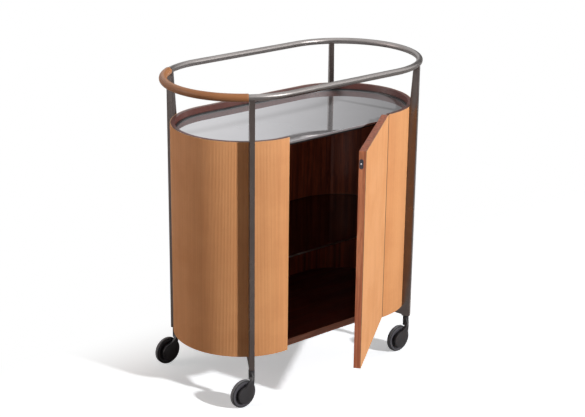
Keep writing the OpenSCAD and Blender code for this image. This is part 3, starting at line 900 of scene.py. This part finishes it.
@dataclass
class FlutedHide:
    """A hide with fine upright flutes pressed into its face."""

    pitch: float = 4 * MM
    depth: float = 0.6 * MM
    steps: int = 6
    roundness: float = 0.8
    thickness: float = 1.95 * MM
    edge: float = 0.35 * MM
    crease: float = 50.0

    def strip(
        self, length: float, low: float, high: float, place: Callable[[float], Spot]
    ) -> BMesh:
        """Builds a fluted strip as a closed solid.

        Args:
            length: Length of the strip along the wall.
            low: Height of its lower edge.
            high: Height of its upper edge.
            place: Gives the point and outward way at a distance along it.

        Returns:
            The mesh. Faces of the cut edges have material number 1.
        """
        count = max(1, round(length / self.pitch)) * self.steps
        mesh = bmesh.new()
        ends = [mesh.verts.new((reach, 0, 0)) for reach in (0, length)]
        bmesh.ops.subdivide_edges(mesh, edges=[mesh.edges.new(ends)], cuts=count - 1)
        face = sorted(mesh.verts, key=lambda vert: vert.co.x)
        copied = bmesh.ops.duplicate(mesh, geom=mesh.verts[:] + mesh.edges[:])
        back = sorted(pick(copied["geom"], BMVert), key=lambda vert: vert.co.x)
        for index, (outer, inner) in enumerate(zip(face, back)):
            rise = math.sin(math.pi * (index % self.steps) / self.steps) ** self.roundness
            point, out = place(length * index / count)
            outer.co = point - out * self.depth * (1 - rise)
            inner.co = point - out * self.thickness
            outer.co.z = inner.co.z = low
        bmesh.ops.bridge_loops(mesh, edges=mesh.edges[:])
        raised = bmesh.ops.extrude_face_region(mesh, geom=mesh.faces[:])
        bmesh.ops.translate(mesh, vec=(0, 0, high - low), verts=pick(raised["geom"], BMVert))
        bmesh.ops.recalc_face_normals(mesh, faces=mesh.faces[:])
        self.mark_cuts(mesh, [place(reach)[0] for reach in (0.0, length)], place(0.0)[1])
        kinds = ((edge, {face.material_index for face in edge.link_faces}) for edge in mesh.edges)
        rims = [edge for edge, found in kinds if len(found) == 2]
        ease(mesh, rims, self.edge)
        return mesh

    def mark_cuts(self, mesh: BMesh, ends: Sequence[Vector], out: Vector) -> None:
        """Gives the faces of a strip's cut edges material number 1.

        Args:
            mesh: The strip's mesh.
            ends: A point at each end of the strip.
            out: The outward direction at its ends.
        """
        for face in mesh.faces:
            centre = face.calc_center_median()
            flat = abs(face.normal.z) > 0.9
            last = any((centre.xy - end.xy).length < self.thickness * 0.8 for end in ends)
            face.material_index = int(flat or (last and abs(face.normal.dot(out)) < 0.3))


HIDE = FlutedHide()


@dataclass
class CabinetBody(Assembly):
    """The walnut shell, its leather cladding, the bottom panel and the stile."""

    shell_edge: float = 0.5 * MM
    board_edge: float = 0.6 * MM
    front_edge_y: float = -160 * MM

    def on_painted_lit_edge(self, face: BMFace) -> bool:
        """Whether a face of the bottom panel is on its front edge, which gets painted light."""
        return face.normal.y < -0.5 and face.calc_center_median().y < self.front_edge_y

    def build(self) -> None:
        """Makes and dresses the cabinet's pieces."""
        self.eased("shell_of_walnut", "carcass_shell", self.shell_edge, [WALNUT_SHELL])
        wall = HIDE.strip(PLAN.wall_length(), PLAN.low, PLAN.high, PLAN.wall_point)
        hide, node = [SADDLE, RAW_EDGE], "leather_cladding"
        self.place("cladding_fluted", wall, hide, node, crease=HIDE.crease)
        # The front edge takes painted light, a lighter walnut where the door's shadow falls.
        board = [WALNUT_FLOOR, WALNUT_PAINTED_LIT_EDGE]
        self.eased("bottom_board", "bottom_panel", self.board_edge, board, second=self.on_painted_lit_edge)
        self.eased("stile_rebated", "latch_stile", self.board_edge, [WALNUT_BODY])


@dataclass
class GlassWork(Assembly):
    """The sunk mirror top in its frame, and the shelf on its pins."""

    frame_edge: float = 0.4 * MM
    mirror_edge: float = 0.8 * MM
    stud_edge: float = 0.6 * MM
    pane_edge: float = 0.9 * MM

    def build(self) -> None:
        """Makes and dresses the glass and what carries it."""

        def ground(face: BMFace) -> bool:
            """Whether a face is on the shelf's ground edge."""
            return abs(face.normal.z) < 0.8

        self.eased("tray_frame", "top_frame", self.frame_edge, [BLACK_FRAME])
        self.eased("tray_mirror", "glass_top", self.mirror_edge, [MIRROR])
        self.eased("shelf_studs", "shelf_pins", self.stud_edge, [BRIGHT_STEEL])
        pane = [SMOKED, GROUND_EDGE]
        self.eased("shelf_pane", "glass_shelf", self.pane_edge, pane, second=ground)


@dataclass
class Door(Assembly):
    """The door: walnut panel, fluted leather face, hinge and ball catch."""

    pivot: Point = (177.2 * MM, -194.8 * MM)
    open_deg: float = 37.5
    free_x: float = -176.6 * MM
    hinge_x: float = 175.3 * MM
    low: float = 137 * MM
    high: float = 747 * MM
    board_edge: float = 0.7 * MM
    plate_edge: float = 0.25 * MM

    def swing(self) -> Matrix:
        """Turns closed pieces to where the door stands."""
        pivot = Matrix.Translation((*self.pivot, 0))
        return pivot @ Matrix.Rotation(math.radians(self.open_deg), 4, "Z") @ pivot.inverted()

    def face_point(self, along: float) -> Spot:
        """A point on the closed door's face, from its free edge, and the outward way."""
        return PLAN.front_point(self.free_x + along)

    def free_edge(self, face: BMFace) -> bool:
        """Whether a face of the panel is on its free edge."""
        return face.normal.dot(self.swing().to_3x3() @ Vector((-1, 0, 0))) > 0.5

    def build(self) -> None:
        """Makes and dresses the door's pieces."""
        door, board, plate = DOOR, [WALNUT_BODY, WALNUT_EDGE], [CATCH_METAL]
        self.eased("door_board", "door_panel", self.board_edge, board, door, self.free_edge)
        face = HIDE.strip(self.hinge_x - self.free_x, self.low, self.high, self.face_point)
        face.transform(self.swing())
        hide = [SADDLE, RAW_EDGE]
        self.place("door_hide", face, hide, "door_leather", door, HIDE.crease)
        self.dress_nodes(BRONZE, "hinge_leaf_shell", "hinge_leaf_door", "hinge_pin")
        self.screws("hinge_screws_shell", BRONZE)
        self.screws("hinge_screws_door", BRONZE, door)
        self.eased("catch_plate", "catch_body", self.plate_edge, plate, door)
        self.dress_nodes(BRIGHT_STEEL, "catch_ball")
        self.screws("catch_screws", SCREW_STEEL, door)
        self.eased("strike", "strike_plate", self.plate_edge, plate)
        self.screws("strike_screws", SCREW_STEEL)


@dataclass
class RailAndPosts(Assembly):
    """The ring handrail with its leather grip, and the four tapered posts."""

    rail_r: float = 212 * MM
    rail_z: float = 871 * MM
    tube_r: float = 9 * MM
    tube_sides: int = 40
    bend_steps: int = 90
    weld_gap: float = 0.02 * MM
    grip_t: float = 2 * MM
    grip_fit: float = 0.05 * MM
    grip_edge: float = 0.7 * MM
    grip_gap: float = 2 * MM
    grip_steps: int = 72
    stitch_count: int = 96
    stitch_gap: float = 8 * MM
    stitch_deg: float = -104.0
    stitch_slant: float = 24.0
    stitch_half: Triple = (0.45 * MM, 1.7 * MM, 0.5 * MM)
    post_deg: float = 31.0
    post_t: float = 14 * MM
    post_edge: float = 0.5 * MM

    def sweep(self, gap: float) -> float:
        """Angle between the two left posts, less a gap beside each."""
        spare = math.asin((self.post_t / 2 + gap) / self.rail_r)
        return math.pi - 2 * math.radians(self.post_deg) - 2 * spare

    def ring(self) -> BMesh:
        """The tube, bent into a stadium and welded to itself.

        Returns:
            The closed mesh.
        """
        mesh = bmesh.new()
        start = Matrix.Translation((PLAN.half, -self.rail_r, self.rail_z))
        place = start @ Matrix.Rotation(math.pi / 2, 4, "Y")
        bmesh.ops.create_circle(mesh, segments=self.tube_sides, radius=self.tube_r, matrix=place)
        last = mesh.verts[:] + mesh.edges[:]
        for side in (1, -1):
            way = {"cent": (side * PLAN.half, 0, 0), "axis": UP, "angle": math.pi}
            bend = bmesh.ops.spin(mesh, geom=last, steps=self.bend_steps, **way)
            run = bmesh.ops.extrude_edge_only(mesh, edges=pick(bend["geom_last"], BMEdge))
            moved = pick(run["geom"], BMVert)
            bmesh.ops.translate(mesh, vec=(-side * 2 * PLAN.half, 0, 0), verts=moved)
            last = moved + pick(run["geom"], BMEdge)
        weld(mesh, self.weld_gap)
        return mesh

    def grip(self) -> BMesh:
        """The leather sleeve over the tube's left end.

        Returns:
            The closed mesh.
        """
        sweep = self.sweep(self.grip_gap)
        centre = Vector((-PLAN.half, 0, 0))
        upright = Matrix.Rotation(math.pi / 2, 4, "X")
        start = Matrix.Translation(centre) @ Matrix.Rotation(math.pi - sweep / 2, 4, "Z")
        mesh = bmesh.new()
        for radius in (self.tube_r + self.grip_t, self.tube_r + self.grip_fit):
            bmesh.ops.create_circle(mesh, segments=self.tube_sides, radius=radius, matrix=upright)
        bmesh.ops.bridge_loops(mesh, edges=mesh.edges[:])
        mesh.transform(start @ Matrix.Translation((self.rail_r, 0, self.rail_z)))
        section = mesh.verts[:] + mesh.edges[:] + mesh.faces[:]
        way = {"cent": centre, "axis": UP, "angle": sweep}
        bmesh.ops.spin(mesh, geom=section, steps=self.grip_steps, **way)
        weld(mesh, 1e-6)
        ease(mesh, sharp_edges(mesh, 60.0), self.grip_edge, 3)
        return mesh

    def stitches(self) -> BMesh:
        """The row of slanted stitches that closes the sleeve underneath.

        Returns:
            The mesh of all the stitches.
        """
        mesh = bmesh.new()
        under = math.radians(self.stitch_deg)
        reach = self.tube_r + self.grip_t
        seam = Vector((self.rail_r + reach * math.cos(under), 0, reach * math.sin(under)))
        slant = Matrix.Rotation(math.radians(self.stitch_slant), 4, "X")
        stitch = Matrix.Translation(seam) @ Matrix.Rotation(-under, 4, "Y") @ slant
        stitch @= Matrix.Diagonal((*self.stitch_half, 1))
        centre = Matrix.Translation((-PLAN.half, 0, self.rail_z))
        for number in range(self.stitch_count):
            share = number / (self.stitch_count - 1) - 0.5
            turn = Matrix.Rotation(math.pi + self.sweep(self.stitch_gap) * share, 4, "Z")
            place = centre @ turn @ stitch
            bmesh.ops.create_icosphere(mesh, subdivisions=1, radius=1, matrix=place)
        return mesh

    def build(self) -> None:
        """Makes and dresses the rail and the posts."""
        self.place("ring_rail", self.ring(), [GUNMETAL_RAIL], "handrail")
        self.place("rail_grip", self.grip(), [GRIP], "handrail_grip")
        self.place("grip_stitches", self.stitches(), [THREAD], crease=60.0)
        for corner in CORNERS:
            self.eased("upright_" + corner, "post_" + corner, self.post_edge, [GUNMETAL_POST])
        self.screws("arm_screws", SCREW_STEEL)
        self.screws("wall_screws", SCREW_STEEL)


@dataclass
class Castor(Assembly):
    """A single-arm swivel castor.

    The sections neck_end, groove and disc are in millimetres. Their points give, in this
    order: how far out from the neck's side and up from its end, how deep in the tread and
    how far along it, and the radius and the depth under the wheel's face.
    """

    corner: str
    swivel: Point = (292.10 * MM, 178.25 * MM)
    trail: float = 30 * MM
    wheel_r: float = 40 * MM
    wheel_w: float = 12 * MM
    tyre_t: float = 6.5 * MM
    lip_r: float = 36 * MM
    shoulder: float = 2.8 * MM
    shoulder_steps: int = 6
    groove_in: float = 3.4 * MM
    groove: tuple[Point, ...] = ((0, 0.6), (1.3, 0.35), (1.3, -0.35), (0, -0.6))
    disc: tuple[Point, ...] = (
        *((4.05, 3.2), (8.5, 3.2), (9.0, 3.8), (26.0, 3.4), (28.6, 2.4), (29.2, 1.0)),
        *((29.9, 0.55), (32.15, 0.5), (32.95, 0.8), (33.45, 1.5)),
    )
    arm_edge: float = 0.9 * MM
    cap_edge: float = 0.8 * MM
    neck_r: float = 8.5 * MM
    neck_end: tuple[Point, ...] = ((-0.8, 0), (-0.2, 0.3), (0, 0.9), (0, 3.0))
    web_high: float = 85.2 * MM
    web_low: float = 74.2 * MM
    web_foot: Point = (-7.4 * MM, -12.12 * MM)
    web_half: Point = (5.2 * MM, 3.9 * MM)
    web_square: float = 0.45
    web_sides: int = 36
    web_steps: int = 8
    hub_r: float = 24.47 * MM
    hub_low: float = 0.7
    hub_left: float = -0.5
    hub_right: float = 0.92
    hub_drop: float = 3.2 * MM
    hub_fade: float = 6 * MM
    hub_cuts: tuple[float, ...] = (-9 * MM, -6 * MM, -3 * MM, 0.0, 5 * MM, 10 * MM)
    turn_steps: int = 96

    def stand(self) -> Vector:
        """Where the swivel axis meets the floor."""
        sides = (-1 if "left" in self.corner else 1), (-1 if "front" in self.corner else 1)
        return Vector((self.swivel[0] * sides[0], self.swivel[1] * sides[1], 0))

    def hub(self) -> Vector:
        """The wheel's centre."""
        return self.stand() + Vector((-self.trail, 0, self.wheel_r))

    def axle_place(self) -> Matrix:
        """Local Z along the axle towards the back, origin at the wheel's centre."""
        turn = Vector((0, 1, 0)).to_track_quat("Z", "Y").to_matrix().to_4x4()
        return Matrix.Translation(self.hub()) @ turn

    def web(self) -> BMesh:
        """The web from the round neck into the flat arm, lofted.

        Returns:
            The closed mesh.
        """
        mesh = bmesh.new()
        rings = []
        for step in range(self.web_steps + 1):
            share = step / self.web_steps
            blend = share * share * (3 - 2 * share)
            ring = []
            for number in range(self.web_sides):
                turn = math.tau * number / self.web_sides
                way = math.cos(turn), math.sin(turn)
                circle = Vector((*way, 0)) * (self.neck_r + 0.04 * MM)
                square = [
                    foot + math.copysign(abs(part) ** self.web_square, part) * half
                    for part, half, foot in zip(way, self.web_half, self.web_foot)
                ]
                point = circle.lerp(Vector((*square, 0)), blend)
                point.z = self.web_high + (self.web_low - self.web_high) * share
                ring.append(mesh.verts.new(point))
            rings.append([mesh.edges.new(pair) for pair in zip(ring, ring[1:] + ring[:1])])
            if step in (0, self.web_steps):
                mesh.faces.new(ring)
        for upper, lower in zip(rings, rings[1:]):
            bmesh.ops.bridge_loops(mesh, edges=upper + lower)
        weld(mesh, 1e-7)
        mesh.transform(Matrix.Translation(self.stand()))
        return mesh

    def rounded_hub(self, mesh: BMesh) -> None:
        """Lowers the arm's upper edge, so that the hub cover is round up to its top.

        Args:
            mesh: The merged copy of the arm.
        """
        hub = self.hub()
        for cut in self.hub_cuts:
            geom = mesh.verts[:] + mesh.edges[:] + mesh.faces[:]
            place = hub + Vector((cut, 0, 0))
            bmesh.ops.bisect_plane(mesh, geom=geom, dist=1e-6, plane_co=place, plane_no=(1, 0, 0))
        right = self.hub_right * self.hub_r
        for vert in mesh.verts:
            side, rise = vert.co.x - hub.x, vert.co.z - hub.z
            beside = vert.co.y - hub.y > -self.wheel_w / 2
            if beside or rise < self.hub_low * self.hub_r:
                continue
            if self.hub_left * self.hub_r < side < 0:
                vert.co.z = hub.z + min(rise, math.sqrt(self.hub_r**2 - side**2))
            elif 0 <= side < right:
                vert.co.z -= self.hub_drop * min(1, (right - side) / self.hub_fade)
        mesh.normal_update()

    def arm(self) -> BMesh:
        """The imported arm, eased, with its web and neck end.

        Returns:
            The mesh of all three.
        """
        low, out = self.web_low + 1.3 * MM, self.neck_r + 0.02 * MM
        end = [(out + side * MM, low + rise * MM) for side, rise in self.neck_end]
        profile = [(0, low), *end, (0, end[-1][1])]
        neck = revolved(profile, self.turn_steps // 2, Matrix.Translation(self.stand()))
        node = "castor_arm_" + self.corner
        flat = softened(node, self.arm_edge, 3, shape=self.rounded_hub)
        return joined((flat, self.web(), neck))

    def tyre(self) -> BMesh:
        """The tyre, with rounded shoulders and a fine groove beside each.

        Returns:
            The mesh. Material 1 is its tread, which gets painted reflection, 2 the wheel's lip.
        """
        half, edge = self.wheel_w / 2, self.shoulder
        side = [(self.wheel_r - self.tyre_t, half), (self.lip_r, half)]
        for step in range(self.shoulder_steps + 1):
            turn = math.pi / 2 * step / self.shoulder_steps
            radius = self.wheel_r - edge + edge * math.sin(turn)
            side.append((radius, half - edge + edge * math.cos(turn)))
        for deep, off in self.groove:
            side.append((self.wheel_r - deep * MM, half - self.groove_in + off * MM))
        mesh = revolved(both_sides(side), self.turn_steps, self.axle_place())
        mesh.normal_update()
        for face in mesh.faces:
            reach = face.calc_center_median() - self.hub()
            reach.y = 0
            tread = int(abs(face.normal.y) < 0.4)
            face.material_index = 2 if reach.length < self.lip_r else tread
        return mesh

    def wheel(self) -> BMesh:
        """The disc, with its lip, its dished middle and the hub."""
        side = [(radius * MM, self.wheel_w / 2 - depth * MM) for radius, depth in self.disc]
        return revolved(both_sides(side), self.turn_steps, self.axle_place())

    def build(self) -> None:
        """Makes and dresses one castor."""
        corner, arm, wheel = self.corner, "castor_" + self.corner, "wheel_" + self.corner
        self.place("fork_" + corner, self.arm(), [ARM_PLASTIC], "castor_arm_" + corner, arm)
        self.dress_nodes(SCREW_STEEL, "axle_" + corner)
        cap, edge = "axle_cap_" + corner, self.cap_edge
        self.eased("cap_" + corner, cap, edge, [ARM_PLASTIC], arm, segments=3)
        self.place("disc_" + corner, self.wheel(), [WHEEL_PLASTIC], wheel, wheel)
        # The tread gets painted reflection, a light grey beside the black sides.
        tyre = [TYRE_RUBBER, TREAD_PAINTED_SHEEN, WHEEL_PLASTIC]
        self.place("tread_" + corner, self.tyre(), tyre, "tyre_" + corner, wheel)


# Stage


def heading(polar: float, height: float) -> Vector:
    """The way towards a lamp or the camera.

    Args:
        polar: Its direction in degrees from the front, positive to the right.
        height: Its height over the horizon in degrees.

    Returns:
        The direction, of length 1.
    """
    turn, lift = math.radians(polar), math.radians(height)
    level = math.cos(lift)
    return Vector((math.sin(turn) * level, -math.cos(turn) * level, math.sin(lift)))


@dataclass(frozen=True)
class Lamp:
    """A distant lamp. Its place is that of heading, and its spread is in degrees."""

    name: str
    polar: float
    height: float
    power: float
    spread: float
    tint: Colour = WHITE

    def hang(self) -> None:
        """Adds the lamp to the scene."""
        data = bpy.data.lights.new(self.name, "SUN")
        data.energy = self.power
        data.angle = math.radians(self.spread)
        data.color = self.tint
        way = heading(self.polar, self.height)
        added(self.name, data).rotation_euler = way.to_track_quat("Z", "Y").to_euler()


@dataclass
class Studio:
    """Pale floor, soft studio light and the camera.

    Each ramp gives two ends of a range, and the level at each of them.
    """

    yaw: float = -40.03
    pitch: float = 19.50
    roll: float = 0.635
    distance: float = 4.16165
    lens: float = 89.37
    sensor: float = 36.0
    target: Triple = (0.0, 0.0, 0.43225)
    offset: Point = (-0.00193, 0.02261)
    lamps: tuple[Lamp, ...] = (
        Lamp("key", 17.0, 27.5, 3.15, 3.0),
        Lamp("left", -120.0, 15.0, 1.04, 40.0, (1.0, 0.88, 0.85)),
        Lamp("right", 70.0, 20.0, 0.6, 40.0),
    )
    card_power: float = 0.13
    card_size: Point = (0.12, 0.4)
    card_at: Triple = (-0.15, -0.13, 0.52)
    card_way: Triple = (-1.0, -0.75, 0.0)
    fill: float = 0.09
    fill_tint: Colour = (1.0, 0.82, 0.68)
    across: Point = (0.766, -0.643)
    panel: Ramp = (-0.08, 0.13, 1.1, 0.12)
    wall: Ramp = (0.04, 0.2, 0.35, 1.0)
    ceiling: Ramp = (0.5, 0.75, 0.0, 1.0)
    ceiling_level: float = 1.7
    floor_half: float = 25.0
    floor_fade: Point = (0.02, 0.45)
    floor_lit: Colour = (1.13, 1.15, 1.18)
    floor_glow: Colour = (0.345, 0.36, 0.365)
    floor_bounce: Colour = (0.16, 0.16, 0.16)
    floor_gloss: Colour = (0.8, 0.8, 0.8)

    def camera(self) -> None:
        """Sets the camera where the photograph was taken from."""
        back, roll = heading(self.yaw, self.pitch), math.radians(self.roll)
        level = (-back).cross(UP).normalized()
        above = level.cross(-back)
        side = level * math.cos(roll) + above * math.sin(roll)
        top = above * math.cos(roll) - level * math.sin(roll)
        eye = Vector(self.target) + back * self.distance
        eye = eye + side * self.offset[0] + top * self.offset[1]
        data = bpy.data.cameras.new("camera")
        data.lens = self.lens
        data.sensor_width = self.sensor
        data.clip_end = 60
        shot = added("camera", data)
        turn = Matrix((side, top, back)).transposed().to_4x4()
        shot.matrix_world = Matrix.Translation(eye) @ turn
        bpy.context.scene.camera = shot

    @staticmethod
    def rays(tree: Tree) -> tuple[dict[str, Socket], Socket]:
        """The kinds of ray, and whether the camera sees a thing.

        Args:
            tree: The tree that asks.

        Returns:
            Each kind by name, and what is seen, also through glass.
        """
        kinds = {socket.name: socket for socket in tree.add("LightPath").outputs}
        return kinds, tree.math("MAXIMUM", kinds["Is Camera Ray"], kinds["Is Transmission Ray"])

    def world(self) -> None:
        """White backdrop, soft fill, and panels for polish to reflect."""
        world = bpy.data.worlds.new("studio")
        world.use_nodes = True
        bpy.context.scene.world = world
        tree = Tree(world.node_tree)
        kinds, white = self.rays(tree)
        way = tree.add("SeparateXYZ", {0: tree.add("TexCoord").outputs["Generated"]}).outputs
        across = tree.weighted(way[0], self.across[0], way[1], self.across[1])
        high = tree.spread(way[2], *self.ceiling)
        level = tree.times(tree.spread(across, *self.panel), tree.spread(way[2], *self.wall))
        below = tree.times(level, tree.math("SUBTRACT", 1.0, high))
        shown = tree.plus(below, tree.times(high, self.ceiling_level))
        polish = tree.times(kinds["Is Glossy Ray"], tree.math("SUBTRACT", shown, self.fill))
        lit = tree.plus(polish, self.fill)
        strength = tree.plus(lit, tree.times(white, 1.0 - self.fill))
        tint = tree.blend(kinds["Is Diffuse Ray"], WHITE, self.fill_tint)
        light = tree.add("Background", {"Color": tint, "Strength": strength})
        tree.add("OutputWorld", {"Surface": light.outputs[0]})

    def floor(self) -> None:
        """A plain white floor that keeps the shadows near the trolley."""
        mesh = bmesh.new()
        bmesh.ops.create_grid(mesh, x_segments=1, y_segments=1, size=self.floor_half)
        data = baked(mesh, "floor")
        made = bpy.data.materials.new("studio_floor")
        made.use_nodes = True
        tree = Tree(made.node_tree)
        kinds, seen = self.rays(tree)
        place = tree.add("SeparateXYZ", {0: tree.add("TexCoord").outputs["Object"]})
        away = tree.spread(place.outputs[1], *self.floor_fade)
        near = tree.times(seen, tree.math("SUBTRACT", 1.0, away))
        shown = tree.blend(near, BLACK, self.floor_lit)
        unseen = tree.blend(kinds["Is Glossy Ray"], self.floor_bounce, self.floor_gloss)
        glow = tree.blend(away, self.floor_glow, WHITE)
        paint = tree.add("BsdfDiffuse", {"Color": tree.blend(seen, unseen, shown)})
        lit = tree.add("Emission", {"Color": glow, "Strength": seen})
        both = tree.add("AddShader", {0: paint.outputs[0], 1: lit.outputs[0]})
        tree.add("OutputMaterial", {"Surface": both.outputs[0]})
        data.materials.append(made)
        floor = added("floor", data)

    def card(self) -> None:
        """A weak card that lifts the cabinet's inside, unseen in reflections."""
        data = bpy.data.lights.new("card", "AREA")
        data.shape = "RECTANGLE"
        data.size, data.size_y = self.card_size
        data.energy = self.card_power
        card = added("card", data)
        card.location = self.card_at
        card.rotation_euler = Vector(self.card_way).to_track_quat("Z", "Y").to_euler()
        card.visible_glossy = card.visible_camera = card.visible_transmission = False

    def build(self) -> None:
        """Makes the stage."""
        self.camera()
        self.world()
        self.floor()
        for lamp in self.lamps:
            lamp.hang()
        self.card()
        bpy.context.scene.view_settings.view_transform = "Standard"


def main() -> None:
    """Builds the trolley's pieces in order and reports each."""
    logging.basicConfig(level=logging.INFO, format="%(name)s: %(message)s")
    Studio().build()
    for part in (CabinetBody(), GlassWork(), Door(), RailAndPosts(), *map(Castor, CORNERS)):
        part.build()
    Assembly.dress_nodes(BRIGHT_STEEL, "stem_pins")
    Assembly.dress_nodes(ARM_PLASTIC, "stem_collars")


if __name__ == "__main__":
    main()
